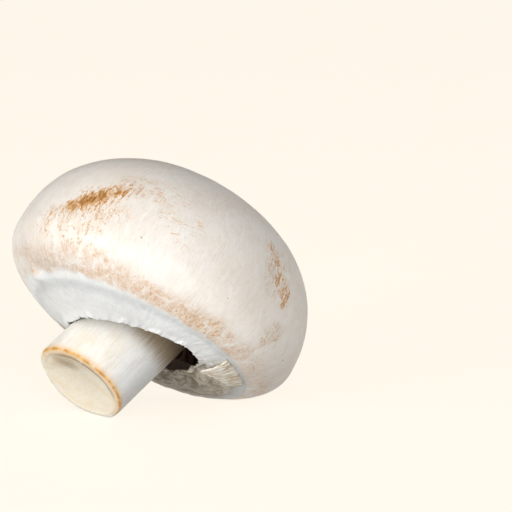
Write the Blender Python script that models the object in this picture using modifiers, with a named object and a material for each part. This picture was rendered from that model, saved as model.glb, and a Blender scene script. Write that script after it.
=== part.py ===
"""Button mushroom lying on its side: cap, stem, gills and torn veil.

Blender 4.5, metres, +Z up. Every piece is modelled in the mushroom's own frame, with the
cap's axis along +Z and its widest circle at z = 0. An empty then lays the mushroom down, with
the cut end of the stem towards -Y, so that it rests on the side of the cap and on the stem's
rim. Each of the two is pressed a little flat where it touches the surface.
"""

from math import atan2, cos, hypot, pi, radians, sin

import bmesh
import bpy
from mathutils import Matrix, Vector

# The lie of the mushroom
AXIS_TILT = radians(49)             # cap's axis above the level
PRESSED = 0.0004                    # depth of the flats it rests on
GAP = 0.0003                        # kept between pieces that touch

# Cap: a squashed ball, flatter below its widest circle than above it
CAP_RADIUS = 0.025
DOME_HEIGHT = 0.0199
UNDER_DEPTH = 0.0106
ROUNDNESS = 2.2                     # 2 is an ellipse, more is squarer
UNDER_END_RADIUS = 0.0145           # where the rounded underside stops, inside the opening

# Gill chamber inside the cap, a little off the cap's axis
CHAMBER_CENTRE = Vector((0.0012, 0.0006, 0))
CHAMBER_CEILING = 0.0065
CHAMBER_WIDEST = -0.0020
CHAMBER_RADIUS = 0.0195
MOUTH_RADIUS = 0.0176
MOUTH_Z = -0.0068

# Stem: from the socket in the cap to the cut end
STEM_TOP = Vector((0.0030, 0.0032, 0.0089))
STEM_END = Vector((-0.0032, -0.0023, -0.01821))
STEM_TOP_RADIUS = 0.0080
STEM_END_RADIUS = 0.0076
STEM_WAIST = 0.0002                 # how much narrower it is halfway
CUT_NORMAL = Vector((0.01, -0.29, -1.0))
CUT_HOLLOW = 0.0007                 # depth of the shrunken cut face
SOCKET_REACH = 0.0074                # length of the cutter that sinks the socket

# Gills
GILL_COUNT = 36
GILL_THICKNESS = 0.0005
GILL_BED_THICKNESS = 0.0008
GILL_INNER = 0.0108
GILL_OUTER = 0.0178

# Veil: the thin skin left round the mouth, torn along its inner edge
VEIL_THICKNESS = 0.0006
TORN_RADIUS = 0.0104
TORN_WIDER = 0.0042                 # how much further out the tear reaches where it is widest
OPEN_SIDE = radians(341)            # round the cap's axis
TORN_CLOSER = 0.0014                # how much nearer the stem the tear stays on its far side
CLOSE_SIDE = radians(60)
SUNK_SIDE = radians(70)
VEIL_SUNK = 0.0018
VEIL_SEGMENTS = 96
VEIL_SPANS = 2

CAP_SEGMENTS = 48
STEM_SEGMENTS = 36


def clear_scene():
    for item in list(bpy.data.objects):
        bpy.data.objects.remove(item, do_unlink=True)


def new_collection(name):
    group = bpy.data.collections.new(name)
    bpy.context.scene.collection.children.link(group)
    return group


def material(name, colour, roughness):
    made = bpy.data.materials.new(name)
    made.use_nodes = True
    shader = made.node_tree.nodes["Principled BSDF"]
    shader.inputs["Base Color"].default_value = (*colour, 1.0)
    shader.inputs["Roughness"].default_value = roughness
    shader.inputs["Metallic"].default_value = 0.0
    return made


def add_object(name, mesh, group, parent=None):
    item = bpy.data.objects.new(name, mesh)
    group.objects.link(item)
    item.parent = parent
    return item


def turned(name, profile, segments, group, parent):
    """A solid of revolution about Z. The profile of (radius, z) runs down its outer side."""
    mesh = bpy.data.meshes.new(name)
    points = [(radius, 0.0, z) for radius, z in profile]
    edges = [(i, i + 1) for i in range(len(points) - 1)]
    mesh.from_pydata(points, edges, [])
    item = add_object(name, mesh, group, parent)
    screw = item.modifiers.new("turn", "SCREW")
    screw.axis = "Z"
    screw.steps = segments
    screw.render_steps = segments
    screw.use_merge_vertices = True
    screw.merge_threshold = 0.00001
    screw.use_smooth_shade = True
    return item


def as_cutter(item):
    item.hide_render = True
    item.display_type = "WIRE"
    return item


def cut(item, cutter, operation="DIFFERENCE"):
    boolean = item.modifiers.new(cutter.name, "BOOLEAN")
    boolean.operation = operation
    boolean.solver = "EXACT"
    boolean.object = cutter


def aimed(item, start, direction):
    """Puts an object's origin at start, with its -Z along direction."""
    turn = Vector((0, 0, -1)).rotation_difference(direction.normalized())
    item.location = start
    item.rotation_mode = "QUATERNION"
    item.rotation_quaternion = turn


def oval(radius, height, angle):
    """A point on a squared ellipse: (distance from the axis, height)."""
    across = max(cos(angle), 0.0) ** (2 / ROUNDNESS)
    up = abs(sin(angle)) ** (2 / ROUNDNESS)
    return radius * across, height * up


def underside_z(radius):
    """Height of the cap's rounded underside at a distance from its axis."""
    share = max(1 - (radius / CAP_RADIUS) ** ROUNDNESS, 0.0)
    return -UNDER_DEPTH * share ** (1 / ROUNDNESS)


def chamber_z(radius):
    """Height of the gill chamber's ceiling at a distance from its own axis."""
    share = max(1 - (radius / CHAMBER_RADIUS) ** ROUNDNESS, 0.0)
    return CHAMBER_WIDEST + (CHAMBER_CEILING - CHAMBER_WIDEST) * share ** (1 / ROUNDNESS)


def cap_profile():
    dome_steps = 12
    under_steps = 6
    points = [oval(CAP_RADIUS, DOME_HEIGHT, pi / 2 * (1 - i / dome_steps)) for i in range(dome_steps + 1)]
    points[0] = (0.0, DOME_HEIGHT)
    for i in range(1, under_steps + 1):
        radius = CAP_RADIUS + (UNDER_END_RADIUS - CAP_RADIUS) * (i / under_steps) ** 1.5
        points.append((radius, underside_z(radius)))
    points.append((0.0, underside_z(UNDER_END_RADIUS)))
    return points


def chamber_profile():
    steps = 7
    points = [(0.0, CHAMBER_CEILING)]
    for i in range(1, steps):
        radius = CHAMBER_RADIUS * sin(pi / 2 * i / steps)
        points.append((radius, chamber_z(radius)))
    points.append((CHAMBER_RADIUS, CHAMBER_WIDEST))
    points.append((CHAMBER_RADIUS - 0.0004, (CHAMBER_WIDEST + MOUTH_Z) / 2))
    points.append((MOUTH_RADIUS, MOUTH_Z))
    points.append((MOUTH_RADIUS, -0.0150))
    points.append((0.0, -0.0150))
    return points


def make_cap(parts, cutters, lie):
    cap = turned("cap", cap_profile(), CAP_SEGMENTS, parts, lie)
    cap.data.materials.append(material("cap_skin", (0.80, 0.76, 0.70), 0.55))
    chamber = as_cutter(turned("chamber_cutter", chamber_profile(), CAP_SEGMENTS, cutters, lie))
    chamber.location = CHAMBER_CENTRE
    cut(cap, chamber)
    wide = STEM_TOP_RADIUS + GAP
    outline = [(0.0, GAP), (wide, GAP), (wide, -SOCKET_REACH), (0.0, -SOCKET_REACH)]
    socket = as_cutter(turned("socket_cutter", outline, STEM_SEGMENTS, cutters, lie))
    aimed(socket, STEM_TOP, STEM_END - STEM_TOP)
    cut(cap, socket)
    return cap


def stem_profile():
    """The stem before its end is cut: waisted, and longer than it will be."""
    spare = 0.004
    length = (STEM_END - STEM_TOP).length
    steps = 8
    points = [(0.0, 0.0)]
    for i in range(steps + 1):
        along = i / steps
        tapered = STEM_TOP_RADIUS + (STEM_END_RADIUS - STEM_TOP_RADIUS) * along
        radius = tapered - STEM_WAIST * sin(pi * along)
        points.append((radius, -length * along))
    points.append((STEM_END_RADIUS, -length - spare))
    points.append((0.0, -length - spare))
    return points


def make_stem(parts, cutters, lie):
    stem = turned("stem", stem_profile(), STEM_SEGMENTS, parts, lie)
    stem.data.materials.append(material("stem_flesh", (0.79, 0.73, 0.60), 0.60))
    aimed(stem, STEM_TOP, STEM_END - STEM_TOP)
    reach = STEM_END_RADIUS * 2
    rings = 4
    bulge = [(STEM_END_RADIUS * i / rings, CUT_HOLLOW * (1 - (i / rings) ** 2)) for i in range(rings + 1)]
    outline = bulge + [(reach, 0.0), (reach, -reach), (0.0, -reach)]
    knife = as_cutter(turned("stem_cutter", outline, STEM_SEGMENTS, cutters, lie))
    aimed(knife, STEM_END, CUT_NORMAL)
    cut(stem, knife)
    return stem


def gill_bed_profile():
    steps = 4
    top = []
    for i in range(steps + 1):
        radius = GILL_INNER + (GILL_OUTER - GILL_INNER) * i / steps
        top.append((radius, chamber_z(radius) - GAP * 1.5))
    bottom = [(radius, z - GILL_BED_THICKNESS) for radius, z in reversed(top)]
    return top + bottom + [top[0]]


def gill_outline():
    """One gill seen from the side: rooted in the bed, free below, rounded towards the stem."""
    bed = GAP * 1.5 + GILL_BED_THICKNESS / 2
    rooted = [(r, chamber_z(r) - bed) for r in (GILL_INNER + 0.0003, 0.0135, GILL_OUTER - 0.0003)]
    free = [(GILL_OUTER, -0.0022), (0.0163, -0.0036), (0.0136, -0.0024), (0.0116, 0.0005)]
    return rooted + free


def make_gills(parts, cutters, lie):
    gills = turned("gills", gill_bed_profile(), GILL_COUNT, parts, lie)
    gills.location = CHAMBER_CENTRE
    gills.data.materials.append(material("gill_flesh", (0.42, 0.30, 0.24), 0.75))
    outline = gill_outline()
    form = bmesh.new()
    for number in range(GILL_COUNT):
        turn = Matrix.Rotation(2 * pi * (number + 0.5) / GILL_COUNT, 3, "Z")
        sides = []
        for half in (-GILL_THICKNESS / 2, GILL_THICKNESS / 2):
            sides.append([form.verts.new(turn @ Vector((radius, half, z))) for radius, z in outline])
        form.faces.new(sides[0])
        form.faces.new(list(reversed(sides[1])))
        for i in range(len(outline)):
            after = (i + 1) % len(outline)
            form.faces.new((sides[0][i], sides[1][i], sides[1][after], sides[0][after]))
    bmesh.ops.recalc_face_normals(form, faces=form.faces)
    mesh = bpy.data.meshes.new("gill_blades")
    form.to_mesh(mesh)
    form.free()
    blades = as_cutter(add_object("gill_blades", mesh, cutters, lie))
    blades.location = CHAMBER_CENTRE
    cut(gills, blades, "UNION")
    return gills


def torn_radius(angle):
    """Distance from the cap's axis to the torn edge: close to the stem, but wide open on one side."""
    opened = ((1 + cos(angle - OPEN_SIDE)) / 2) ** 10
    close = ((1 + cos(angle - CLOSE_SIDE)) / 2) ** 4
    ragged = 0.00018 * sin(11 * angle + 0.6) + 0.00012 * sin(19 * angle + 2.1)
    return TORN_RADIUS + TORN_WIDER * opened - TORN_CLOSER * close + ragged


def veil_z(radius, angle):
    """Height of the veil's outer face: it carries on the cap's underside, and is sunk in on one side."""
    inward = (MOUTH_RADIUS - radius) / (MOUTH_RADIUS - TORN_RADIUS)
    sunk_side = ((1 + cos(angle - SUNK_SIDE)) / 2) ** 2
    return underside_z(radius) + VEIL_SUNK * sunk_side * max(inward, 0.0)


def mouth_radius(angle):
    """Distance from the cap's axis to the mouth's wall, less the gap."""
    facing = atan2(CHAMBER_CENTRE.y, CHAMBER_CENTRE.x)
    offset = hypot(CHAMBER_CENTRE.x, CHAMBER_CENTRE.y)
    across = offset * sin(angle - facing)
    reach = MOUTH_RADIUS - GAP
    return offset * cos(angle - facing) + (reach ** 2 - across ** 2) ** 0.5


def make_veil(parts, lie):
    form = bmesh.new()
    rings = []
    for number in range(VEIL_SEGMENTS):
        angle = 2 * pi * number / VEIL_SEGMENTS
        outer = mouth_radius(angle)
        inner = torn_radius(angle)
        spoke = []
        for step in range(VEIL_SPANS + 1):
            radius = outer + (inner - outer) * step / VEIL_SPANS
            place = Vector((radius * cos(angle), radius * sin(angle), veil_z(radius, angle)))
            spoke.append(form.verts.new(place))
        rings.append(spoke)
    for number in range(VEIL_SEGMENTS):
        here = rings[number]
        after = rings[(number + 1) % VEIL_SEGMENTS]
        for step in range(VEIL_SPANS):
            form.faces.new((here[step], here[step + 1], after[step + 1], after[step]))
    mesh = bpy.data.meshes.new("veil")
    form.to_mesh(mesh)
    form.free()
    veil = add_object("veil", mesh, parts, lie)
    veil.data.materials.append(material("veil_skin", (0.82, 0.81, 0.79), 0.60))
    shell = veil.modifiers.new("thickness", "SOLIDIFY")
    shell.thickness = VEIL_THICKNESS
    shell.offset = -1.0
    shell.use_even_offset = True
    return veil


def world_points(items):
    """Every vertex of the finished pieces, in the world."""
    bpy.context.view_layer.update()
    depsgraph = bpy.context.evaluated_depsgraph_get()
    points = []
    for item in items:
        finished = item.evaluated_get(depsgraph)
        mesh = finished.to_mesh()
        points += [finished.matrix_world @ vertex.co for vertex in mesh.vertices]
        finished.to_mesh_clear()
    return points


def lay_down(lie, items):
    """Tilts the mushroom, centres it on the origin and lets it sink by the depth of its flats."""
    lie.rotation_euler = (AXIS_TILT - pi / 2, 0, 0)
    points = world_points(items)
    low = [min(point[i] for point in points) for i in range(3)]
    high = [max(point[i] for point in points) for i in range(3)]
    lie.location = (-(low[0] + high[0]) / 2, -(low[1] + high[1]) / 2, -low[2] - PRESSED)


def press_flat(items, cutters):
    """Cuts away what would reach below the surface that the mushroom lies on."""
    size = 4 * CAP_RADIUS
    form = bmesh.new()
    bmesh.ops.create_cube(form, size=size)
    mesh = bpy.data.meshes.new("surface_cutter")
    form.to_mesh(mesh)
    form.free()
    surface = as_cutter(add_object("surface_cutter", mesh, cutters))
    surface.location = (0, 0, -size / 2)
    for item in items:
        cut(item, surface)


def build():
    clear_scene()
    parts = new_collection("button_mushroom")
    cutters = new_collection("cutters")
    lie = add_object("lie_of_the_mushroom", None, cutters)
    cap = make_cap(parts, cutters, lie)
    stem = make_stem(parts, cutters, lie)
    gills = make_gills(parts, cutters, lie)
    veil = make_veil(parts, lie)
    lay_down(lie, [cap, stem, gills, veil])
    press_flat([cap, stem], cutters)


build()
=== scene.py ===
"""Looks of the button mushroom: skin, stem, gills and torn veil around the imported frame."""
from math import cos, pi, radians, sin

import bpy
import numpy as np
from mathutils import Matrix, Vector


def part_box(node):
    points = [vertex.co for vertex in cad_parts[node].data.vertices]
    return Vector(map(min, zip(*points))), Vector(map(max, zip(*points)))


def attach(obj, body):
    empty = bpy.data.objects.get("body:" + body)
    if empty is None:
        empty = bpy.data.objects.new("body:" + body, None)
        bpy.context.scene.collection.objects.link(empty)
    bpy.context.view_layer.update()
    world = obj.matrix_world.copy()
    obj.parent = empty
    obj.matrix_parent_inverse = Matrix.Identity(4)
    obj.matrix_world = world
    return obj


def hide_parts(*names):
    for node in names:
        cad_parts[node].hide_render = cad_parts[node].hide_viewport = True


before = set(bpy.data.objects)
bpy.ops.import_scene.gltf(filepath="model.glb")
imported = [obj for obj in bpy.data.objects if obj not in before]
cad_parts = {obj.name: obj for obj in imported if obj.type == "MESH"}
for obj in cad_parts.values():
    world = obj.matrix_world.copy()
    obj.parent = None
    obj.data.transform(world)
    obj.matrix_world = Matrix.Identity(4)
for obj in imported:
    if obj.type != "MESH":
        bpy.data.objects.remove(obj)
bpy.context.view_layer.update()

MM = 0.001

# The mushroom's own frame, in millimetres: +Z is the cap's axis, z = 0 its widest circle
AXIS_TILT = radians(49)
CAP_RADIUS = 25.0
DOME_HEIGHT = 19.9
UNDER_DEPTH = 10.6
ROUNDNESS = 2.2
CHAMBER_CENTRE = np.array([1.2, 0.6])
CHAMBER_CEILING = 6.5
CHAMBER_WIDEST = -2.0
CHAMBER_RADIUS = 19.5
MOUTH_RADIUS = 17.6
MOUTH_Z = -6.8
STEM_TOP = np.array([3.0, 3.2, 8.9])
STEM_END = np.array([-3.2, -2.3, -18.21])
STEM_TOP_RADIUS = 8.0
STEM_END_RADIUS = 7.6
STEM_WAIST = 0.2
CUT_NORMAL = np.array([0.01, -0.29, -1.0])
CUT_HOLLOW = 0.7
TORN_RADIUS = 10.4
TORN_WIDER = 4.2
OPEN_SIDE = radians(341)
TORN_CLOSER = 1.4
CLOSE_SIDE = radians(60)
SUNK_SIDE = radians(70)
VEIL_SUNK = 1.8

# A torn flap on the veil's open side: direction and half width in degrees, then mm
FLAP_SIDE = 17.0
FLAP_HALF = 13.0
FLAP_OUTER = 19.6
FLAP_LENGTH = 4.0

# How finely each piece is modelled
CAP_COLUMNS = 512
CAP_ROWS = 150
STEM_COLUMNS = 320
STEM_ROWS = 130
VEIL_COLUMNS = 900
GILL_COUNT = 210

# ---------------------------------------------------------------- numbers and noise

LATTICE = np.random.default_rng(11).random((32, 32, 32))


def grain(points, seed=0):
    """Smooth noise from -1 to 1, one cell a unit. It repeats every 32 units."""
    shifted = points + np.array([3.7, 11.3, 7.1]) * seed + 500.0
    cell = np.floor(shifted).astype(int)
    part = shifted - cell
    part = part * part * (3 - 2 * part)
    total = 0.0
    for corner in range(8):
        step = np.array([corner & 1, corner >> 1 & 1, corner >> 2 & 1])
        weight = np.prod(np.where(step, part, 1 - part), axis=-1)
        x, y, z = np.moveaxis((cell + step) % 32, -1, 0)
        total = total + weight * LATTICE[x, y, z]
    return total * 2 - 1


def rough(points, seed=0, octaves=3):
    """Several sizes of noise on top of each other, from -1 to 1."""
    total = 0.0
    for octave in range(octaves):
        total = total + grain(points * 2 ** octave, seed + 5 * octave) / 2 ** octave
    return total / 1.6


def smooth(low, high, value):
    share = np.clip((value - low) / (high - low), 0.0, 1.0)
    return share * share * (3 - 2 * share)


def unit(vectors):
    return vectors / np.linalg.norm(vectors, axis=-1, keepdims=True)


# ---------------------------------------------------------------- the mushroom's frame

AXES = np.array([
    [1.0, 0.0, 0.0],
    [0.0, sin(AXIS_TILT), -cos(AXIS_TILT)],
    [0.0, cos(AXIS_TILT), sin(AXIS_TILT)],
])


def find_origin():
    """Where the mushroom's own origin lies in the world, from the box of the CAD cap, in mm."""
    low, high = (np.array(corner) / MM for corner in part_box("cap"))
    turn = np.linspace(0, pi / 2, 2000)
    across = CAP_RADIUS * np.cos(turn) ** (2 / ROUNDNESS)
    up = DOME_HEIGHT * np.sin(turn) ** (2 / ROUNDNESS)
    back = np.max(across * sin(AXIS_TILT) + up * cos(AXIS_TILT))
    top = np.max(across * cos(AXIS_TILT) + up * sin(AXIS_TILT))
    return np.array([(low[0] + high[0]) / 2, high[1] - back, high[2] - top])


ORIGIN = find_origin()


def to_world(points):
    """From the mushroom's frame in mm to the world in metres, pressed flat where it lies."""
    placed = ORIGIN + points @ AXES
    placed[..., 2] = np.maximum(placed[..., 2], 0.0)
    return placed * MM


def underside_z(radius):
    share = np.clip(1 - (radius / CAP_RADIUS) ** ROUNDNESS, 0.0, 1.0)
    return -UNDER_DEPTH * share ** (1 / ROUNDNESS)


def chamber_z(radius):
    share = np.clip(1 - (radius / CHAMBER_RADIUS) ** ROUNDNESS, 0.0, 1.0)
    return CHAMBER_WIDEST + (CHAMBER_CEILING - CHAMBER_WIDEST) * share ** (1 / ROUNDNESS)


def mouth_radius(angle):
    """Distance from the cap's axis to the mouth's wall."""
    facing = np.arctan2(CHAMBER_CENTRE[1], CHAMBER_CENTRE[0])
    offset = np.hypot(*CHAMBER_CENTRE)
    across = offset * np.sin(angle - facing)
    return offset * np.cos(angle - facing) + np.sqrt(MOUTH_RADIUS ** 2 - across ** 2)


def torn_radius(angle):
    opened = ((1 + np.cos(angle - OPEN_SIDE)) / 2) ** 10
    close = ((1 + np.cos(angle - CLOSE_SIDE)) / 2) ** 4
    return TORN_RADIUS + TORN_WIDER * opened - TORN_CLOSER * close


# ---------------------------------------------------------------- meshes

def grid_faces(rows, columns):
    """Quads of a grid that closes round its columns, facing out where rows run down."""
    row, column = np.meshgrid(np.arange(rows - 1), np.arange(columns), indexing="ij")
    after = (column + 1) % columns
    here = row * columns
    below = (row + 1) * columns
    quads = np.stack([here + column, below + column, below + after, here + after], axis=-1)
    return quads.reshape(-1, 4)


def make_piece(name, node, points, quads, paint, finish, uv=None, extra=()):
    """A smooth-shaded mesh piece that stands for a CAD node."""
    mesh = bpy.data.meshes.new(name)
    mesh.from_pydata(to_world(points).tolist(), [], quads.tolist() + list(extra))
    for label, values in paint.items():
        kind = "FLOAT_VECTOR" if values.ndim == 2 else "FLOAT"
        layer = mesh.attributes.new(label, kind, "POINT")
        key = "vector" if values.ndim == 2 else "value"
        layer.data.foreach_set(key, np.ascontiguousarray(values, dtype=np.float32).ravel())
    if uv is not None:
        corners = np.empty(len(mesh.loops), dtype=np.int32)
        mesh.loops.foreach_get("vertex_index", corners)
        mesh.uv_layers.new(name="OFBake").data.foreach_set("uv", uv[corners].astype(np.float32).ravel())
    mesh.shade_smooth()
    piece = bpy.data.objects.new(name, mesh)
    bpy.context.scene.collection.objects.link(piece)
    mesh.materials.append(finish)
    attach(piece, "root")
    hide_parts(node)
    return piece


# ---------------------------------------------------------------- materials

class Paint:
    """Short names for the nodes of one material."""

    def __init__(self, name):
        self.material = bpy.data.materials.new(name)
        self.material.use_nodes = True
        self.tree = self.material.node_tree
        self.shader = self.tree.nodes["Principled BSDF"]

    def node(self, kind, **settings):
        made = self.tree.nodes.new(kind)
        for key, value in settings.items():
            setattr(made, key, value)
        return made

    def feed(self, socket, value):
        if isinstance(value, bpy.types.NodeSocket):
            self.tree.links.new(value, socket)
        elif isinstance(value, tuple) and len(value) == 3 and socket.type == "RGBA":
            socket.default_value = (*value, 1.0)
        else:
            socket.default_value = value

    def layer(self, label):
        made = self.node("ShaderNodeAttribute", attribute_name=label)
        return made.outputs["Vector"], made.outputs["Fac"]

    def stretch(self, vector, scale):
        made = self.node("ShaderNodeVectorMath", operation="MULTIPLY")
        self.feed(made.inputs[0], vector)
        made.inputs[1].default_value = scale
        return made.outputs[0]

    def noise(self, vector, scale, detail=3.0, roughness=0.55, bend=0.0):
        made = self.node("ShaderNodeTexNoise", noise_dimensions="3D")
        self.feed(made.inputs["Vector"], vector)
        made.inputs["Scale"].default_value = scale
        made.inputs["Detail"].default_value = detail
        made.inputs["Roughness"].default_value = roughness
        made.inputs["Distortion"].default_value = bend
        return made.outputs["Fac"]

    def specks(self, vector, scale):
        made = self.node("ShaderNodeTexVoronoi", feature="F1")
        self.feed(made.inputs["Vector"], vector)
        made.inputs["Scale"].default_value = scale
        return made.outputs["Distance"]

    def sum(self, operation, first, second=0.5):
        made = self.node("ShaderNodeMath", operation=operation)
        self.feed(made.inputs[0], first)
        self.feed(made.inputs[1], second)
        return made.outputs[0]

    def times(self, *values):
        total = values[0]
        for value in values[1:]:
            total = self.sum("MULTIPLY", total, value)
        return total

    def ramp(self, value, low, high, start=0.0, end=1.0):
        made = self.node("ShaderNodeMapRange", interpolation_type="SMOOTHSTEP")
        for key, item in zip(("Value", "From Min", "From Max", "To Min", "To Max"),
                             (value, low, high, start, end)):
            self.feed(made.inputs[key], item)
        return made.outputs["Result"]

    def lines(self, value, width):
        """Thin lines where a noise crosses its middle."""
        away = self.sum("ABSOLUTE", self.sum("SUBTRACT", value, 0.5))
        return self.ramp(away, 0.0, width, 1.0, 0.0)

    def mix(self, amount, first, second, blend="MIX"):
        made = self.node("ShaderNodeMix", data_type="RGBA", blend_type=blend)
        self.feed(made.inputs[0], amount)
        self.feed(made.inputs[6], first)
        self.feed(made.inputs[7], second)
        return made.outputs[2]

    def bump(self, height, strength, distance, normal=None):
        made = self.node("ShaderNodeBump")
        made.inputs["Strength"].default_value = strength
        made.inputs["Distance"].default_value = distance
        self.feed(made.inputs["Height"], height)
        if normal is not None:
            self.feed(made.inputs["Normal"], normal)
        return made.outputs["Normal"]

    def finish(self, colour, roughness, normal, soft, glow_radius, specular=0.4):
        shader = self.shader
        self.feed(shader.inputs["Base Color"], colour)
        self.feed(shader.inputs["Roughness"], roughness)
        self.feed(shader.inputs["Normal"], normal)
        shader.inputs["Subsurface Weight"].default_value = soft
        shader.inputs["Subsurface Radius"].default_value = glow_radius
        shader.inputs["Subsurface Scale"].default_value = 1.0
        shader.inputs["Specular IOR Level"].default_value = specular
        return self.material


def veil_white(p, place, threads):
    """The bluish white skin of the veil, the same on the cap's margin and on the veil itself."""
    patch = p.noise(place, 0.6, 4.0, 0.6, 0.8)
    skin = p.mix(p.ramp(patch, 0.35, 0.7), (0.86, 0.885, 0.895), (0.79, 0.81, 0.815))
    return p.mix(p.ramp(threads, 0.30, 0.48, 0.22, 0.0), skin, (0.66, 0.64, 0.60))


def cap_paint():
    p = Paint("cap_skin_look")
    place = p.layer("place")[0]
    fibre = p.layer("fibre")[0]
    bruise = p.layer("bruise")[1]
    streak = p.layer("streak")[1]
    scratch = p.layer("scratch")[1]
    band = p.layer("band")[1]
    greyed = p.layer("greyed")[1]
    veiled = p.layer("veiled")[1]
    flesh = p.layer("flesh")[1]

    cloud = p.noise(place, 0.11, 4.0, 0.55)
    patch = p.noise(place, 0.45, 4.0, 0.6, 0.6)
    skin = p.mix(p.ramp(cloud, 0.35, 0.68), (0.86, 0.835, 0.80), (0.82, 0.775, 0.72))
    skin = p.mix(p.ramp(patch, 0.42, 0.75, 0.0, 0.30), skin, (0.74, 0.68, 0.60))
    threads = p.noise(p.stretch(fibre, (34.0, 34.0, 0.55)), 1.0, 4.0, 0.6, 0.3)
    skin = p.mix(p.ramp(threads, 0.45, 0.75, 0.0, 0.45), skin, (0.93, 0.92, 0.90))
    hairs = p.noise(p.stretch(fibre, (80.0, 80.0, 1.1)), 1.0, 3.0, 0.6)
    skin = p.mix(p.ramp(hairs, 0.32, 0.50, 0.22, 0.0), skin, (0.62, 0.54, 0.46))

    # the peach band above the margin, and its short cross-hatched marks
    blotch = p.noise(place, 0.42, 5.0, 0.65, 0.8)
    dab = p.noise(p.stretch(fibre, (44.0, 44.0, 1.5)), 1.0, 4.0, 0.7, 1.4)
    tinted = p.times(band, p.ramp(blotch, 0.32, 0.56), p.ramp(dab, 0.30, 0.58), 0.72)
    skin = p.mix(tinted, skin, (0.64, 0.42, 0.26))
    along = p.noise(p.stretch(fibre, (42.0, 42.0, 0.75)), 1.0, 3.0, 0.65, 1.2)
    crossing = p.noise(p.stretch(fibre, (20.0, 20.0, 4.2)), 1.0, 3.0, 0.65, 0.8)
    hatch = p.sum("MAXIMUM", p.ramp(along, 0.54, 0.66), p.ramp(crossing, 0.55, 0.67))
    skin = p.mix(p.times(band, p.ramp(blotch, 0.44, 0.60), hatch, 0.80), skin, (0.56, 0.27, 0.09))
    skin = p.mix(p.times(greyed, p.ramp(dab, 0.30, 0.60), 0.60), skin, (0.46, 0.37, 0.29))

    # squiggles along the fibres, and scratches across them
    wander = p.noise(p.stretch(fibre, (11.0, 11.0, 0.26)), 1.0, 3.0, 0.6, 2.4)
    spread = p.noise(place, 0.42, 3.0, 0.6)
    squiggle = p.times(p.lines(wander, 0.026), p.ramp(spread, 0.42, 0.52), p.ramp(streak, 0.05, 0.60))
    short = p.times(p.ramp(along, 0.60, 0.70), p.ramp(spread, 0.46, 0.58), streak)
    squiggle = p.sum("MAXIMUM", squiggle, short)
    skin = p.mix(p.times(squiggle, 0.90), skin, (0.58, 0.27, 0.075))
    skin = p.mix(p.times(streak, p.ramp(spread, 0.36, 0.62), 0.42), skin, (0.80, 0.63, 0.45))
    slanting = p.noise(p.stretch(fibre, (13.0, 13.0, 3.0)), 1.0, 3.0, 0.6, 1.2)
    nick = p.times(p.ramp(slanting, 0.55, 0.63), p.ramp(spread, 0.38, 0.50), p.ramp(scratch, 0.05, 0.7))
    hairline = p.times(p.lines(slanting, 0.014), p.ramp(spread, 0.50, 0.60), scratch, 0.8)
    nick = p.sum("MAXIMUM", nick, hairline)
    skin = p.mix(p.times(nick, 0.80), skin, (0.72, 0.43, 0.20))

    # the dense brown bruise: an orange halo, a brown middle and near-black grains
    strokes = p.noise(p.stretch(fibre, (34.0, 34.0, 0.72)), 1.0, 4.0, 0.7, 1.6)
    grit = p.noise(place, 2.4, 4.0, 0.7, 0.8)
    uneven = p.sum("ADD", p.sum("MULTIPLY", p.sum("SUBTRACT", strokes, 0.5), 3.4),
                   p.sum("MULTIPLY", p.sum("SUBTRACT", grit, 0.5), 1.2))
    reach = p.sum("ADD", bruise, uneven)
    shown = p.ramp(bruise, 0.03, 0.22)
    skin = p.mix(p.times(shown, p.ramp(reach, 0.22, 0.62), 0.85), skin, (0.66, 0.36, 0.12))
    skin = p.mix(p.times(shown, p.ramp(reach, 0.60, 0.98), 0.90), skin, (0.38, 0.165, 0.028))
    skin = p.mix(p.times(shown, p.ramp(reach, 1.15, 1.50), 0.75), skin, (0.17, 0.065, 0.010))

    # bluish white towards the veil, and bare flesh inside
    whitened = p.ramp(p.sum("ADD", veiled, p.sum("MULTIPLY", p.sum("SUBTRACT", dab, 0.5), 1.0)), 0.15, 0.95)
    whitened = p.sum("MAXIMUM", whitened, p.ramp(veiled, 0.85, 1.0))
    skin = p.mix(p.times(whitened, p.ramp(veiled, 0.0, 0.15)), skin, veil_white(p, place, threads))
    skin = p.mix(flesh, skin, (0.50, 0.40, 0.33))
    dots = p.ramp(p.specks(place, 0.22), 0.02, 0.045, 1.0, 0.0)
    skin = p.mix(p.times(dots, 0.55), skin, (0.16, 0.09, 0.05))

    shine = p.ramp(patch, 0.3, 0.7, 0.36, 0.50)
    shine = p.sum("ADD", shine, p.times(shown, p.ramp(reach, 0.4, 0.9), 0.22))
    height = p.sum("ADD", p.times(threads, 0.6), p.times(hairs, 0.4))
    normal = p.bump(height, 0.45, 0.00014)
    normal = p.bump(p.sum("SUBTRACT", p.times(strokes, bruise), squiggle), 0.6, 0.00010, normal)
    normal = p.bump(p.noise(place, 3.2, 4.0, 0.6), 0.22, 0.00012, normal)
    return p.finish(skin, shine, normal, 0.30, (0.0018, 0.0013, 0.0010), 0.45)


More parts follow.
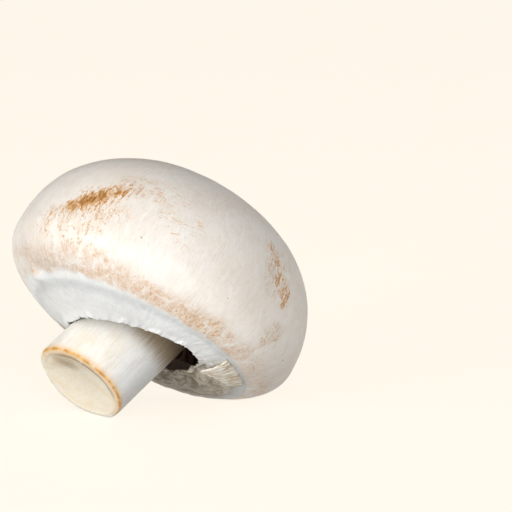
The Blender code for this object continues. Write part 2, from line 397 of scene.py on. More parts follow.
def stem_paint():
    p = Paint("stem_flesh_look")
    place = p.layer("place")[0]
    fibre = p.layer("fibre")[0]
    olive_and_shade = p.layer("olive_and_shade")[1]
    cool_shade = p.layer("cool_shade")[1]
    cut = p.layer("cut")[1]
    rim = p.layer("rim")[1]
    groove = p.layer("groove")[1]
    pit_shade = p.layer("pit_shade")[1]

    threads = p.noise(p.stretch(fibre, (14.0, 14.0, 0.16)), 1.0, 5.0, 0.62, 0.4)
    hairs = p.noise(p.stretch(fibre, (38.0, 38.0, 0.45)), 1.0, 3.0, 0.6, 0.3)
    patch = p.noise(place, 0.26, 4.0, 0.6, 0.5)
    flesh = p.mix(p.ramp(patch, 0.38, 0.70), (0.87, 0.85, 0.80), (0.81, 0.755, 0.655))
    # painted shade: a cool bluish tone on one side of the stem, towards the cut end
    flesh = p.mix(p.times(cool_shade, 0.65), flesh, (0.79, 0.835, 0.88))
    flesh = p.mix(p.ramp(threads, 0.48, 0.70, 0.0, 0.60), flesh, (0.93, 0.93, 0.92))
    flesh = p.mix(p.ramp(threads, 0.26, 0.44, 0.38, 0.0), flesh, (0.60, 0.50, 0.34))
    flesh = p.mix(p.ramp(hairs, 0.30, 0.48, 0.25, 0.0), flesh, (0.58, 0.50, 0.38))
    # an olive-brown tint with painted shade on the stem's right side near the cap, under the veil's edge
    uneven = p.sum("MULTIPLY", p.sum("SUBTRACT", threads, 0.5), 0.7)
    smear_and_shade = p.times(p.ramp(p.sum("ADD", olive_and_shade, uneven), 0.22, 0.90), p.ramp(olive_and_shade, 0.02, 0.2))
    flesh = p.mix(p.times(smear_and_shade, 0.88), flesh, (0.36, 0.255, 0.135))

    ripple = p.noise(place, 0.40, 5.0, 0.6, 0.7)
    face = p.mix(p.ramp(ripple, 0.38, 0.72), (0.88, 0.82, 0.69), (0.83, 0.73, 0.55))
    pores = p.noise(place, 2.6, 3.0, 0.6)
    face = p.mix(p.ramp(pores, 0.50, 0.72, 0.0, 0.22), face, (0.64, 0.50, 0.32))
    # painted shade: the face's recess is brown
    face = p.mix(p.times(pit_shade, p.ramp(ripple, 0.24, 0.50), 0.85), face, (0.40, 0.30, 0.175))
    flesh = p.mix(cut, flesh, face)
    broken = p.noise(place, 0.75, 4.0, 0.65)
    flesh = p.mix(p.times(rim, p.ramp(broken, 0.26, 0.44), 0.92), flesh, (0.74, 0.40, 0.085))
    core = p.times(p.ramp(rim, 0.55, 1.0), p.ramp(broken, 0.46, 0.60))
    flesh = p.mix(p.times(core, 0.8), flesh, (0.48, 0.20, 0.02))
    # painted shade: near-black brown along the groove inside the rim
    flesh = p.mix(p.times(groove, p.ramp(broken, 0.25, 0.50), 0.85), flesh, (0.22, 0.12, 0.04))

    normal = p.bump(p.sum("ADD", p.times(threads, 0.7), p.times(hairs, 0.5)), 0.5, 0.00022)
    normal = p.bump(pores, 0.20, 0.00015, normal)
    shine = p.ramp(ripple, 0.3, 0.7, 0.46, 0.60)
    return p.finish(flesh, shine, normal, 0.30, (0.0020, 0.0015, 0.0010), 0.4)


def gill_paint():
    p = Paint("gill_flesh_look")
    place = p.layer("place")[0]
    deep_shade = p.layer("deep_shade")[1]
    cloud = p.noise(place, 0.5, 4.0, 0.6)
    leaf = p.mix(p.ramp(cloud, 0.3, 0.7), (0.34, 0.215, 0.155), (0.24, 0.14, 0.095))
    # painted shade: the leaves darken to near black towards the chamber's ceiling
    leaf = p.mix(deep_shade, leaf, (0.085, 0.045, 0.03))
    normal = p.bump(p.noise(place, 2.5, 3.0, 0.6), 0.3, 0.0001)
    return p.finish(leaf, p.ramp(cloud, 0.3, 0.7, 0.6, 0.75), normal, 0.15, (0.0012, 0.0006, 0.0004), 0.3)


def veil_paint():
    p = Paint("veil_skin_look")
    place = p.layer("place")[0]
    fibre = p.layer("fibre")[0]
    shade = p.layer("shade")[1]
    flap = p.layer("flap")[1]
    inner = p.layer("inner")[1]
    threads = p.noise(p.stretch(fibre, (34.0, 34.0, 0.55)), 1.0, 4.0, 0.6, 0.3)
    skin = veil_white(p, place, threads)
    # painted shade over the far side: grey-brown, darkest in the troughs of the folds and paler on their
    # ridges as painted light
    folds = p.noise(p.stretch(fibre, (4.0, 4.0, 1.5)), 1.0, 4.0, 0.58, 1.0)
    shaded_folds = p.mix(p.ramp(folds, 0.34, 0.60), (0.20, 0.165, 0.12), (0.48, 0.43, 0.345))
    pale = p.ramp(p.noise(place, 0.55, 4.0, 0.6, 1.0), 0.52, 0.66)
    shaded_folds = p.mix(p.times(pale, p.ramp(folds, 0.42, 0.58), 0.8), shaded_folds, (0.74, 0.71, 0.65))
    skin = p.mix(shade, skin, shaded_folds)
    stripes = p.noise(p.stretch(fibre, (46.0, 46.0, 0.5)), 1.0, 3.0, 0.6, 0.8)
    ivory = p.mix(p.ramp(stripes, 0.38, 0.60), (0.55, 0.43, 0.29), (0.90, 0.86, 0.79))
    skin = p.mix(flap, skin, ivory)
    # painted shade: the veil's back face, up inside the chamber, is dark brown
    skin = p.mix(inner, skin, (0.30, 0.23, 0.17))
    normal = p.bump(threads, 0.4, 0.00016)
    normal = p.bump(p.times(folds, shade), 0.6, 0.0006, normal)
    normal = p.bump(p.noise(place, 2.2, 4.0, 0.6), 0.3, 0.00015, normal)
    return p.finish(skin, p.ramp(folds, 0.3, 0.7, 0.48, 0.62), normal, 0.30, (0.0014, 0.0013, 0.0012), 0.35)


# ---------------------------------------------------------------- cap

# Marks on the cap: direction round the axis and angle from the top, in degrees, then half sizes in mm
BRUISES = (
    (270, 87, 1.8, 1.4, 0.75), (274, 84, 2.0, 1.7, 1.0), (277, 82, 1.9, 1.6, 1.1),
    (280, 80, 2.0, 1.7, 1.0), (284, 77, 2.0, 1.7, 0.85), (277, 84, 5.4, 3.0, 0.36),
    (287, 73, 3.2, 2.2, 0.3), (351, 65, 1.5, 1.8, 0.42), (355, 69, 1.8, 2.0, 0.52),
    (358, 73, 1.8, 1.9, 0.5), (2, 77, 1.4, 1.7, 0.6), (3, 80, 1.1, 1.2, 0.5),
    (243, 112, 1.3, 1.0, 0.55), (331, 107, 1.6, 1.0, 0.45), (344, 106, 2.2, 1.2, 0.4),
    (262, 92, 2.0, 1.5, 0.25), (128, 66, 3.0, 2.0, 0.6), (205, 84, 2.6, 1.8, 0.6),
)
STREAKS = (
    (275, 93, 6.5, 3.8, 1.0), (266, 95, 5.0, 4.0, 0.9), (284, 88, 4.5, 3.0, 0.8),
    (292, 70, 5.0, 2.4, 0.6), (341, 106, 3.5, 2.0, 0.9), (6, 94, 2.0, 3.0, 0.9),
    (352, 107, 3.0, 2.0, 0.8), (356, 72, 3.4, 4.2, 0.8), (120, 60, 9.0, 6.0, 0.7),
    (200, 80, 8.0, 6.0, 0.7), (50, 75, 7.0, 5.0, 0.6), (160, 95, 6.0, 4.0, 0.7),
)
SCRATCHES = (
    (304, 72, 4.5, 2.2, 0.9), (309, 77, 4.5, 2.8, 1.0), (313, 82, 3.0, 2.2, 0.7),
    (298, 68, 4.0, 2.0, 0.7), (150, 50, 6.0, 4.0, 0.7), (30, 45, 6.0, 4.0, 0.6),
)
GREYED = (
    (255, 109, 5.5, 2.4, 1.0), (268, 111, 4.5, 2.2, 1.0), (244, 105, 4.0, 3.0, 0.6),
    (110, 105, 9.0, 3.0, 0.7),
)
DENT = (357, 72, 1.9, 4.0, 0.45)
KNOB = (243, 112, 1.5, 1.1, 0.75)


PATCH_DEPTH = 6.0                   # mm through the skin in which a patch fades


def on_cap(around, down):
    """The point of the cap's smooth surface in a direction given in degrees."""
    turn, fall = radians(around), radians(down)
    height = DOME_HEIGHT if down < 90 else UNDER_DEPTH
    across = (sin(fall) / CAP_RADIUS) ** ROUNDNESS
    upright = (abs(cos(fall)) / height) ** ROUNDNESS
    reach = (across + upright) ** (-1 / ROUNDNESS)
    return reach * np.array([sin(fall) * cos(turn), sin(fall) * sin(turn), cos(fall)])


def patch_mask(points, spots):
    """Soft patches, longer round the cap than down it, or the other way."""
    total = np.zeros(len(points))
    for around, down, wide, tall, weight in spots:
        centre = on_cap(around, down)
        turn, fall = radians(around), radians(down)
        sideways = np.array([-sin(turn), cos(turn), 0.0])
        downwards = np.array([cos(fall) * cos(turn), cos(fall) * sin(turn), -sin(fall)])
        offset = points - centre
        out = np.cross(sideways, downwards)
        spread = (offset @ sideways / wide) ** 2 + (offset @ downwards / tall) ** 2
        spread = spread + (offset @ out / PATCH_DEPTH) ** 2
        total = np.maximum(total, weight * np.exp(-spread))
    return total


def cap_curves(angle):
    """The cap's section in one direction: down the outside, over the lip and up the chamber's wall."""
    lip = mouth_radius(angle)
    stop = np.arccos(np.clip(((lip + 0.4) / CAP_RADIUS), 0, 1) ** (ROUNDNESS / 2))
    share = np.linspace(0, 1, CAP_ROWS)[:, None]
    turn = pi / 2 - share * (pi / 2 + stop[None])
    radius = CAP_RADIUS * np.clip(np.cos(turn), 0, 1) ** (2 / ROUNDNESS)
    height = np.where(turn > 0, DOME_HEIGHT, -UNDER_DEPTH) * np.abs(np.sin(turn)) ** (2 / ROUNDNESS)
    outer = np.stack([radius * np.cos(angle), radius * np.sin(angle), height], axis=-1)

    middle = np.broadcast_to(CHAMBER_CENTRE, (len(angle), 2))
    end_point = outer[-1]
    facing = unit(end_point[:, :2] - middle)
    wall_steps = np.linspace(0, 1, 26)[1:]
    widening = MOUTH_RADIUS + (CHAMBER_RADIUS - MOUTH_RADIUS) * smooth(0, 0.3, wall_steps)
    closing = CHAMBER_RADIUS * np.cos(pi / 2 * (wall_steps - 0.3) / 0.7)
    wall_radius = np.where(wall_steps < 0.3, widening, closing)
    wall_height = np.where(wall_steps < 0.3, MOUTH_Z + (CHAMBER_WIDEST - MOUTH_Z) * wall_steps / 0.3,
                           chamber_z(np.maximum(wall_radius, 0)))
    wall_radius[-1] = 0.02
    raised = np.broadcast_to(wall_height[:, None, None], (len(wall_steps), len(angle), 1))
    wall = np.concatenate([middle + facing * wall_radius[:, None, None], raised], axis=-1)

    start = end_point
    level = np.full((len(angle), 1), MOUTH_Z)
    finish = np.concatenate([middle + facing * (MOUTH_RADIUS + 0.1), level], axis=-1)
    edge = lip - 0.15
    corner = np.stack([edge * np.cos(angle), edge * np.sin(angle), underside_z(lip) - 0.1], axis=-1)
    bend = np.linspace(0, 1, 12)[1:-1, None, None]
    lip_curve = (1 - bend) ** 2 * start + 2 * bend * (1 - bend) * corner + bend ** 2 * finish
    return outer, lip_curve, wall


def grid_normals(grid):
    """Unit normals of a closed grid of points, facing out where rows run down."""
    around = np.roll(grid, -1, axis=1) - np.roll(grid, 1, axis=1)
    down = np.gradient(grid, axis=0)
    normal = np.cross(down, around)
    length = np.linalg.norm(normal, axis=-1, keepdims=True)
    return normal / np.maximum(length, 1e-9)


def cap_relief(points, fall):
    """How far the skin stands out from the smooth cap, in mm."""
    turn = np.arctan2(points[:, 1], points[:, 0])
    across = np.column_stack([np.cos(turn), np.sin(turn)])
    lumps = 0.10 * rough(points / 9.0, 1) + 0.035 * rough(points / 2.6, 2)
    margin = smooth(98, 112, fall)
    ribs = rough(np.column_stack([across * 24, fall / 9.0]), 3)
    cross = rough(np.column_stack([across * 34 + fall[:, None] / 2.2, fall / 5.0]), 4)
    folds = margin * (0.07 * ribs + 0.035 * cross)
    pitted = patch_mask(points, BRUISES) * 0.07 * rough(points / 0.8, 5)
    dent = -patch_mask(points, (DENT,))
    creased = np.abs(rough(np.column_stack([across * 18, fall / 12.0]), 6))
    crumple = patch_mask(points, (DENT,)) * 0.25 * creased
    knob = patch_mask(points, (KNOB,)) * (1 + 0.5 * rough(points / 0.9, 7))
    return lumps + folds + pitted + dent + crumple + knob


def make_cap():
    angle = np.linspace(0, 2 * pi, CAP_COLUMNS, endpoint=False)
    outer, lip, wall = cap_curves(angle)
    outer[0] = outer[1] * np.array([0.01, 0.01, 1.0]) + np.array([0, 0, 0.01])
    grid = np.concatenate([outer, lip, wall])
    rows = len(grid)
    normals = grid_normals(grid).reshape(-1, 3)
    points = grid.reshape(-1, 3)
    direction = np.arctan2(points[:, 1], points[:, 0])
    fall = np.degrees(np.arctan2(np.hypot(points[:, 0], points[:, 1]), points[:, 2]))
    row = np.repeat(np.arange(rows), CAP_COLUMNS)
    outside = smooth(CAP_ROWS + 6, CAP_ROWS - 2, row.astype(float))
    relief = cap_relief(points, fall) * outside
    shaped = points + normals * relief[:, None]

    wander = 7.0 * rough(points / 7.0, 8)
    band = smooth(98, 104, fall + wander * 0.5) * smooth(114, 109, fall + wander * 0.5)
    band *= 0.55 + 0.45 * smooth(-0.3, 0.3, rough(points / 8.0, 9))
    lip_near = smooth(107.0, 113.0, fall + wander * 0.35 + 2.2 * rough(points / 1.6, 10))
    paint = {
        "place": points,
        "fibre": np.column_stack([np.cos(direction), np.sin(direction), fall / 3.0]),
        "bruise": patch_mask(points, BRUISES),
        "streak": patch_mask(points, STREAKS),
        "scratch": patch_mask(points, SCRATCHES),
        "greyed": patch_mask(points, GREYED) * outside,
        "band": band * outside,
        "veiled": np.clip(lip_near, 0, 1) * outside,
        "flesh": 1 - outside,
    }
    within = 0.40 + 0.08 * (row - CAP_ROWS) / (rows - CAP_ROWS)
    reach = np.where(row < CAP_ROWS, row / CAP_ROWS * 0.40, within)
    uv = 0.5 + np.column_stack([np.cos(direction), np.sin(direction)]) * reach[:, None]
    quads = grid_faces(rows, CAP_COLUMNS)
    return make_piece("cap_skin", "cap", shaped, quads, paint, cap_paint(), uv)


# ---------------------------------------------------------------- stem

def stem_frame():
    """The stem's axis and two directions across it."""
    axis = unit(STEM_END - STEM_TOP)
    side = unit(np.cross(axis, [0.0, 1.0, 0.0]))
    return axis, side, np.cross(axis, side)


def make_stem():
    axis, side, other = stem_frame()
    length = np.linalg.norm(STEM_END - STEM_TOP)
    angle = np.linspace(0, 2 * pi, STEM_COLUMNS, endpoint=False)
    spokes = np.cos(angle)[:, None] * side + np.sin(angle)[:, None] * other
    normal = unit(CUT_NORMAL)
    wobble = 1 + 0.018 * np.cos(2 * angle + 0.8) + 0.010 * np.cos(3 * angle - 0.5)
    wobble = wobble + 0.006 * np.cos(5 * angle)

    def radius_at(share):
        tapered = STEM_TOP_RADIUS + (STEM_END_RADIUS - STEM_TOP_RADIUS) * share
        return (tapered - STEM_WAIST * np.sin(pi * np.clip(share, 0, 1))) * wobble

    # along each fibre, where the knife's plane crosses it
    rim_reach = length - (spokes @ normal) * radius_at(1.0) / (axis @ normal)
    share = np.linspace(0, 1, STEM_ROWS)[:, None]
    along = share * (rim_reach - 0.35)
    sides = radius_at(along / length)
    body = STEM_TOP + along[..., None] * axis + sides[..., None] * spokes

    # the rolled rim and the hollow face
    bends = np.linspace(0, pi / 2, 7)[1:, None]
    rim_radius = radius_at(1.0) - 0.35 + 0.35 * np.cos(bends)
    rim_along = rim_reach - 0.35 + 0.35 * np.sin(bends)
    rim = STEM_TOP + rim_along[..., None] * axis + rim_radius[..., None] * spokes
    inward = (1 - np.linspace(0, 1, 46)[1:, None]) ** 0.9
    face_radius = (radius_at(1.0) - 0.35) * inward
    face_along = length + (rim_reach - length) * inward
    sag = CUT_HOLLOW * 1.25 * (1 - inward ** 2) ** 1.2
    lipped = 0.12 * np.exp(-((inward - 0.93) / 0.03) ** 2)
    face = STEM_TOP + (face_along - sag + lipped)[..., None] * axis + face_radius[..., None] * spokes

    grid = np.concatenate([body, rim, face])
    rows = len(grid)
    normals = grid_normals(grid).reshape(-1, 3)
    points = grid.reshape(-1, 3)
    row = np.repeat(np.arange(rows), STEM_COLUMNS)
    turn = np.tile(angle, rows)
    far = (points - STEM_TOP) @ axis
    ring = np.linalg.norm(points - STEM_TOP - far[:, None] * axis, axis=1) / STEM_END_RADIUS
    rimmed = np.exp(-((row - STEM_ROWS - 2.5) / 4.5) ** 2)
    on_side = smooth(STEM_ROWS + 4, STEM_ROWS - 4, row.astype(float))
    strand = np.column_stack([np.cos(turn), np.sin(turn)])
    relief = on_side * (0.10 * rough(np.column_stack([strand * 5, far / 14]), 12)
                        + 0.045 * rough(np.column_stack([strand * 17, far / 9]), 13)
                        + 0.02 * rough(np.column_stack([strand * 40, far / 4]), 14))
    uneven = 0.10 * rough(points / 2.2, 15) + 0.03 * rough(points / 0.7, 16)
    relief += (1 - on_side) * uneven * smooth(0, 0.3, ring)
    relief += 0.12 * rimmed * rough(np.column_stack([strand * 7, far * 0]), 17)

    # the face's recess, painted brown as shade, and the orange rim with the groove inside it on the cap's
    # open side, the groove painted dark as shade
    off_centre = points - STEM_END
    spoke = off_centre / np.maximum(np.linalg.norm(off_centre, axis=1, keepdims=True), 0.01)
    facing = (spoke[:, 0] - spoke[:, 1]) / 2 ** 0.5
    from_pit = ((off_centre[:, 1] + 4.3) / 1.9) ** 2 + ((off_centre[:, 0] + 1.0) / 2.8) ** 2
    recess = np.exp(-from_pit) * (1 - on_side)
    groove = np.exp(-((ring - 0.86) / 0.045) ** 2) * smooth(0.25, 0.75, facing) * (1 - on_side)
    relief -= 0.45 * recess + 0.35 * groove
    shaped = points + normals * relief[:, None]
    around_side = np.cos(turn)[:, None] * side + np.sin(turn)[:, None] * other
    to_right = around_side @ unit(np.array([1.0, -0.35, 0.0]))
    below_right = around_side @ unit(np.array([0.75, 0.65, 0.0]))
    paint = {
        "place": points,
        "fibre": np.column_stack([strand, far]),
        # olive-brown tint and painted shade on the right side, near the cap
        "olive_and_shade": smooth(-0.35, 0.75, to_right) * smooth(21.5, 14.5, far),
        # cool bluish painted shade on one side, towards the cut end
        "cool_shade": smooth(0.0, 0.8, below_right) * smooth(12.0, 18.0, far) * on_side,
        "cut": (1 - smooth(STEM_ROWS + 8, STEM_ROWS + 3, row.astype(float))),
        "rim": rimmed * smooth(-0.45, 0.25, around_side @ unit(np.array([1.0, -1.0, 0.0]))),
        # the groove inside the rim, which also carries painted shade
        "groove": groove,
        "pit_shade": recess,
    }
    top = np.arange(STEM_COLUMNS)[::-1].tolist()
    return make_piece("stem_flesh", "stem", shaped, grid_faces(rows, STEM_COLUMNS), paint,
                      stem_paint(), None, [top])


# ---------------------------------------------------------------- gills

def make_gills():
    draw = np.random.default_rng(5)
    steps, levels = 9, 5
    share = np.linspace(0, 1, steps)
    sink = np.linspace(0, 1, levels)
    all_points, all_quads, deep_shade = [], [], []
    for number in range(GILL_COUNT):
        turn = 2 * pi * (number + draw.uniform(-0.2, 0.2)) / GILL_COUNT
        inner = (10.4, 12.6, 15.0)[number % 2 + (number % 4 == 1)] + draw.uniform(-0.2, 0.2)
        outer = 18.6
        radius = inner + (outer - inner) * share
        ceiling = chamber_z(radius) - 0.15
        rounded = np.sin(np.clip((radius - inner + 0.7) / 3.2, 0, 1) * pi / 2)
        hang = 4.6 * rounded * smooth(20.3, 17.2, radius)
        hang = np.minimum(hang + 0.5, np.maximum(ceiling + 4.9, 0.4))
        height = ceiling[:, None] - hang[:, None] * sink[None]
        lean = draw.uniform(-0.25, 0.25) + 0.22 * np.sin(radius * 0.9 + draw.uniform(0, 6))
        bow = lean[:, None] * sink[None] ** 1.5
        thick = 0.11 * (1 - 0.55 * sink[None]) + 0 * height
        for half in (1, -1):
            local = np.stack([radius[:, None] + 0 * height, bow + half * thick, height], axis=-1)
            all_points.append(turned_about(local.reshape(-1, 3), turn))
            # painted shade for each point: 1 at the chamber's ceiling, 0 at the leaf's free edge
            deep_shade.append(np.tile(1 - sink, steps))
        base = number * 2 * steps * levels
        all_quads.append(leaf_faces(base, steps, levels))
    points = np.concatenate(all_points)
    points[:, :2] += CHAMBER_CENTRE
    paint = {"place": points, "deep_shade": np.concatenate(deep_shade)}
    quads = np.concatenate(all_quads)
    return make_piece("gill_leaves", "gills", points, quads, paint, gill_paint())


def turned_about(points, turn):
    x = points[:, 0] * cos(turn) - points[:, 1] * sin(turn)
    y = points[:, 0] * sin(turn) + points[:, 1] * cos(turn)
    return np.column_stack([x, y, points[:, 2]])


def leaf_faces(base, steps, levels):
    """Quads of one thin leaf: two sides and the edge all round."""
    back = steps * levels
    quads = []
    for i in range(steps - 1):
        for j in range(levels - 1):
            a, b = i * levels + j, (i + 1) * levels + j
            quads.append((a, b, b + 1, a + 1))
            quads.append((back + a, back + a + 1, back + b + 1, back + b))
    rim = [i * levels for i in range(steps)]
    rim += [(steps - 1) * levels + j for j in range(1, levels)]
    rim += [i * levels + levels - 1 for i in range(steps - 2, -1, -1)]
    rim += [j for j in range(levels - 2, 0, -1)]
    for here, after in zip(rim, rim[1:] + rim[:1]):
        quads.append((here, back + here, back + after, after))
    return base + np.array(quads)


# ---------------------------------------------------------------- veil

def spread_over(ring, around, share, down, seed):
    """Noise over a grid of rows and spokes: cells round the axis, and cells from edge to edge."""
    shape = (len(share), len(ring), 1)
    turned = np.broadcast_to(ring * around, shape[:2] + (2,))
    across = np.broadcast_to(share[..., None] * down, shape)
    return rough(np.concatenate([turned, across], axis=-1), seed)


def make_veil():
    angle = np.linspace(0, 2 * pi, VEIL_COLUMNS, endpoint=False)
    ring = np.column_stack([np.cos(angle), np.sin(angle)])
    flat = np.zeros((VEIL_COLUMNS, 1))
    near = smooth(-0.25, 0.25, np.cos(angle - radians(278)))
    chunks = rough(np.hstack([ring * 11, flat]), 21)
    teeth = (0.85 * chunks + 0.55 * np.round(2.4 * rough(np.hstack([ring * 17, flat]), 22)) / 2.4
             + 0.12 * rough(np.hstack([ring * 55, flat]), 23))
    notch = 2.0 * ((1 + np.cos(angle - radians(3))) / 2) ** 30
    notch = notch - 0.9 * ((1 + np.cos(angle - radians(238))) / 2) ** 12
    inner = torn_radius(angle) + 0.15 + teeth + notch
    outer = mouth_radius(angle) + 1.6
    out_rows = 46
    share = np.linspace(0, 1, out_rows)[:, None]
    radius = outer + (inner - outer) * share
    sunk = VEIL_SUNK * ((1 + np.cos(angle - SUNK_SIDE)) / 2) ** 2
    inward = np.clip((MOUTH_RADIUS - radius) / (MOUTH_RADIUS - TORN_RADIUS), 0, 1)
    height = underside_z(radius) + sunk * inward

    # it grows out of the cap's skin, and is free towards the stem
    free = smooth(0.25, 0.85, share)
    laid = np.stack([radius * ring[:, 0], radius * ring[:, 1], height], axis=-1).reshape(-1, 3)
    fall = np.degrees(np.arctan2(np.hypot(laid[:, 0], laid[:, 1]), laid[:, 2]))
    skin = cap_relief(laid, fall).reshape(out_rows, VEIL_COLUMNS)
    lift = -0.10 + 0.15 * smooth(0.0, 0.10, share) + 0.06 * smooth(0.1, 0.5, share)
    lift = lift + 1.15 * skin * (1 - free)
    strands = spread_over(ring, 22, share, 1.6, 24)
    wrinkle = spread_over(ring, 6, share, 3.0, 25)
    fold = (1 - near) * free * (0.35 * np.sin(share * 15.0 + 2.5 * np.sin(angle * 2.0))
                                + 0.55 * spread_over(ring, 3.0, share, 6.0, 27)
                                + 0.45 * np.abs(spread_over(ring, 6.0, share, 4.0, 28)))
    height = height - lift + free * (0.08 * strands + 0.20 * wrinkle * (1.4 - near)) + fold
    height = height - 0.55 * near * smooth(0.80, 1.0, share) * (0.35 + 0.6 * chunks)
    top = np.stack([radius * ring[:, 0], radius * ring[:, 1], height], axis=-1)
    thickness = 0.05 + 0.50 * smooth(0.2, 0.5, share) - 0.25 * smooth(0.75, 1.0, share)
    back_rows = 14
    pick = np.linspace(out_rows - 1, 0, back_rows).astype(int)
    back = top[pick] + np.array([0, 0, 1.0]) * thickness[pick][..., None]
    edge_mid = (top[-1:] + back[:1]) / 2
    edge_mid[..., :2] -= ring[None] * 0.07
    grid = np.concatenate([top, edge_mid, back])
    rows = len(grid)
    points = grid.reshape(-1, 3)
    direction = np.tile(angle, rows)
    row = np.repeat(np.arange(rows), VEIL_COLUMNS)
    level = np.concatenate([share[:, 0], [1.0], share[pick, 0]])
    quads = grid_faces(rows, VEIL_COLUMNS)
    closing = np.arange(VEIL_COLUMNS)
    after = (closing + 1) % VEIL_COLUMNS
    last = (rows - 1) * VEIL_COLUMNS
    seam = np.column_stack([last + closing, closing, after, last + after])

    flap_points, flap_quads, flap_fibre = flap_sheet(len(points))
    blank = np.zeros(len(flap_points))
    turned_from = np.concatenate([direction, np.arctan2(flap_points[:, 1], flap_points[:, 0])])
    reached = np.concatenate([np.repeat(level, VEIL_COLUMNS) * 6, flap_fibre])
    shade = np.tile(1 - near, rows) * np.repeat(smooth(0.10, 0.34, level), VEIL_COLUMNS)
    paint = {
        "place": np.concatenate([points, flap_points]),
        "fibre": np.column_stack([np.cos(turned_from), np.sin(turned_from), reached]),
        "shade": np.concatenate([shade, blank]),
        "flap": np.concatenate([np.zeros(len(points)), blank + 1]),
        # the back face, up inside the chamber, takes painted shade
        "inner": np.concatenate([smooth(out_rows, out_rows + 3, row.astype(float)), blank]),
    }
    faces = np.concatenate([quads, seam, flap_quads])
    return make_piece("veil_skirt", "veil", paint["place"], faces, paint, veil_paint())


def flap_sheet(base):
    """A torn flap of the veil that hangs from the lip over the far side, as a thin closed sheet."""
    columns, steps = 60, 26
    across = np.linspace(-1, 1, columns)[None, :]
    down = np.linspace(0, 1, steps)[:, None]
    ragged = 0.10 * rough(np.column_stack([across[0] * 5, across[0] * 0, across[0] * 0]), 31)
    turn = np.radians(FLAP_SIDE + FLAP_HALF * across * (1 - 0.25 * down) + 3.0 * down)
    radius = FLAP_OUTER - (FLAP_LENGTH * (1 + ragged[None, :]) - 1.0 * across) * down
    sheet = [across * 9 + 0 * down, down * 1.5 + 0 * across, 0 * (across + down)]
    grooves = 0.10 * rough(np.stack(sheet, axis=-1), 32)
    height = underside_z(radius) - 0.45 - 0.25 * np.sin(pi * down) - grooves + 0.35 * across * down
    front = np.stack([radius * np.cos(turn), radius * np.sin(turn), height], axis=-1)
    behind = front + np.array([0, 0, 0.42])
    points = np.concatenate([front.reshape(-1, 3), behind.reshape(-1, 3)])
    count = steps * columns
    row, column = np.meshgrid(np.arange(steps - 1), np.arange(columns - 1), indexing="ij")
    corner = (row * columns + column).ravel()
    outside = np.column_stack([corner, corner + 1, corner + columns + 1, corner + columns])
    edge = list(range(columns)) + [columns * i + columns - 1 for i in range(1, steps)]
    edge += [count - 1 - i for i in range(1, columns)] + [columns * i for i in range(steps - 2, 0, -1)]
    rim = [(here, count + here, count + after, after) for here, after in zip(edge, edge[1:] + edge[:1])]
    quads = np.concatenate([outside, outside[:, ::-1] + count, np.array(rim)])
    along = np.tile((down * 5.0 + 0 * across).ravel(), 2)
    return points, base + quads, along


# ---------------------------------------------------------------- surroundings

CAMERA_AZIMUTH = radians(45.2)
CAMERA_ELEVATION = radians(12.6)
CAMERA_DISTANCE = 0.450
CAMERA_LENS = 197.0
AIM_RIGHT = 0.0163
AIM_UP = 0.0065


def camera_axes():
    a, e = CAMERA_AZIMUTH, CAMERA_ELEVATION
    back = Vector((sin(a) * cos(e), -cos(a) * cos(e), sin(e)))
    right = Vector((cos(a), sin(a), 0.0))
    return back, right, back.cross(right)


def make_camera():
    back, right, up = camera_axes()
    centre = Vector(ORIGIN * MM)
    data = bpy.data.cameras.new("camera")
    data.lens = CAMERA_LENS
    camera = bpy.data.objects.new("camera", data)
    camera.location = centre + back * CAMERA_DISTANCE
    aim = centre + right * AIM_RIGHT + up * AIM_UP
    camera.rotation_euler = (aim - camera.location).to_track_quat("-Z", "Y").to_euler()
    bpy.context.scene.collection.objects.link(camera)
    bpy.context.scene.camera = camera


def make_light(name, azimuth, elevation, distance, size, watts, colour=(1.0, 1.0, 1.0)):
    a, e = radians(azimuth), radians(elevation)
    data = bpy.data.lights.new(name, "AREA")
    data.shape = "DISK"
    data.size = size
    data.energy = watts
    data.color = colour
    light = bpy.data.objects.new(name, data)
    offset = Vector((sin(a) * cos(e), -cos(a) * cos(e), sin(e))) * distance
    light.location = Vector(ORIGIN * MM) + offset
    light.rotation_euler = (-offset).to_track_quat("-Z", "Y").to_euler()
    bpy.context.scene.collection.objects.link(light)


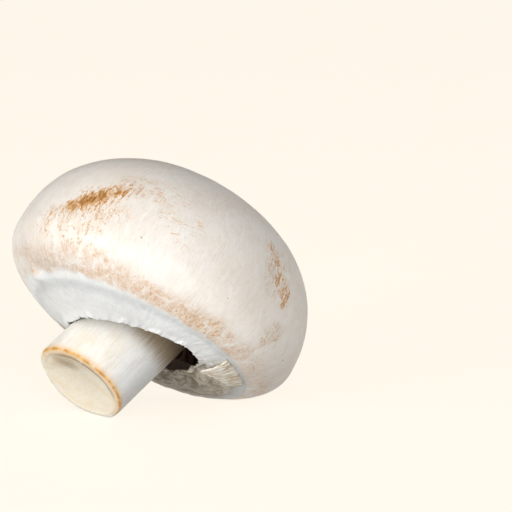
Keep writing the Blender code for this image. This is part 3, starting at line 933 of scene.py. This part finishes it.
def make_studio():
    p = Paint("table")
    where = p.node("ShaderNodeTexCoord").outputs["Object"]
    cloud = p.noise(where, 3.0, 2.0, 0.5)
    top = p.mix(cloud, (0.19, 0.176, 0.155), (0.18, 0.167, 0.147))
    p.feed(p.shader.inputs["Base Color"], top)
    p.shader.inputs["Emission Color"].default_value = (1.0, 0.945, 0.842, 1.0)
    p.shader.inputs["Emission Strength"].default_value = 0.90
    p.shader.inputs["Roughness"].default_value = 0.8
    p.shader.inputs["Specular IOR Level"].default_value = 0.1
    mesh = bpy.data.meshes.new("table")
    half = 6.0
    corners = [(-half, -half, 0), (half, -half, 0), (half, half, 0), (-half, half, 0)]
    mesh.from_pydata(corners, [], [(0, 1, 2, 3)])
    mesh.materials.append(p.material)
    table = bpy.data.objects.new("table", mesh)
    bpy.context.scene.collection.objects.link(table)
    table.visible_diffuse = False

    # a pale wall far behind, seen from low down; it neither lights the mushroom nor shades it
    count = 48
    turns = np.linspace(0, 2 * pi, count, endpoint=False)
    wall = [(0.95 * half * cos(turn), 0.95 * half * sin(turn), z) for z in (0.0, half) for turn in turns]
    panels = [(i, (i + 1) % count, count + (i + 1) % count, count + i) for i in range(count)]
    mesh = bpy.data.meshes.new("wall")
    mesh.from_pydata(wall, [], panels)
    mesh.materials.append(p.material)
    backdrop = bpy.data.objects.new("wall", mesh)
    bpy.context.scene.collection.objects.link(backdrop)
    backdrop.visible_diffuse = False
    backdrop.visible_glossy = False
    backdrop.visible_shadow = False

    world = bpy.data.worlds.new("studio")
    bpy.context.scene.world = world
    world.use_nodes = True
    sky = world.node_tree.nodes["Background"]
    sky.inputs["Color"].default_value = (1.0, 0.955, 0.90, 1.0)
    sky.inputs["Strength"].default_value = 0.33
    make_light("key", 56, 24, 0.8, 0.5, 3.3, (1.0, 0.99, 0.975))
    make_light("low", -4, 3, 0.6, 0.4, 3.7, (1.0, 0.985, 0.96))
    bpy.context.scene.view_settings.view_transform = "Standard"


make_camera()
make_studio()
make_cap()
make_stem()
make_gills()
make_veil()
